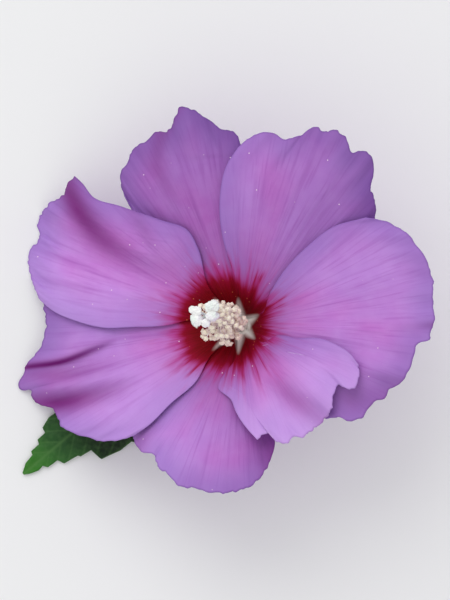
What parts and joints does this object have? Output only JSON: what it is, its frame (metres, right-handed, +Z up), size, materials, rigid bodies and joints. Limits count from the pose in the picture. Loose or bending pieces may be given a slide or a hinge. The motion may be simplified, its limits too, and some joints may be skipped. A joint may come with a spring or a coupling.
{
  "type": "hibiscus flower",
  "caption": "Hibiscus flower with lilac petals, a dark red eye and a cream staminal column, lying face up on a short twig with a lobed leaf.",
  "frame": {"origin": "on the resting surface, under the middle of the whole part's box", "axes": "+Z up from the surface, +X across the flower towards its raised right petal, +Y across it towards the upper petals"},
  "size_m": [0.1041, 0.0962, 0.0434],
  "materials": {
    "petal": "soft, thin and slightly see-through; lilac with a dark red eye",
    "stamens": "matt, grainy, cream",
    "stigma": "matt, velvety, white",
    "sepal": "matt, finely hairy, green",
    "bark": "matt, slightly ridged, grey-brown",
    "leaf": "satin, veined, dark green"
  },
  "bodies": {
    "root": {"petal_right": "petal", "petal_upper_right": "petal", "petal_upper_left": "petal", "petal_left": "petal", "petal_lower_left": "petal", "petal_bottom": "petal", "petal_lower_right": "petal", "staminal_column": "stamens", "style": "stigma", "calyx": "sepal", "pedicel": "sepal", "twig": "bark", "leaf": "leaf", "bractlet_1": "sepal", "bractlet_2": "sepal", "bractlet_3": "sepal", "bractlet_4": "sepal", "bractlet_5": "sepal", "bractlet_6": "sepal", "bractlet_7": "sepal"}
  },
  "joints": []
}
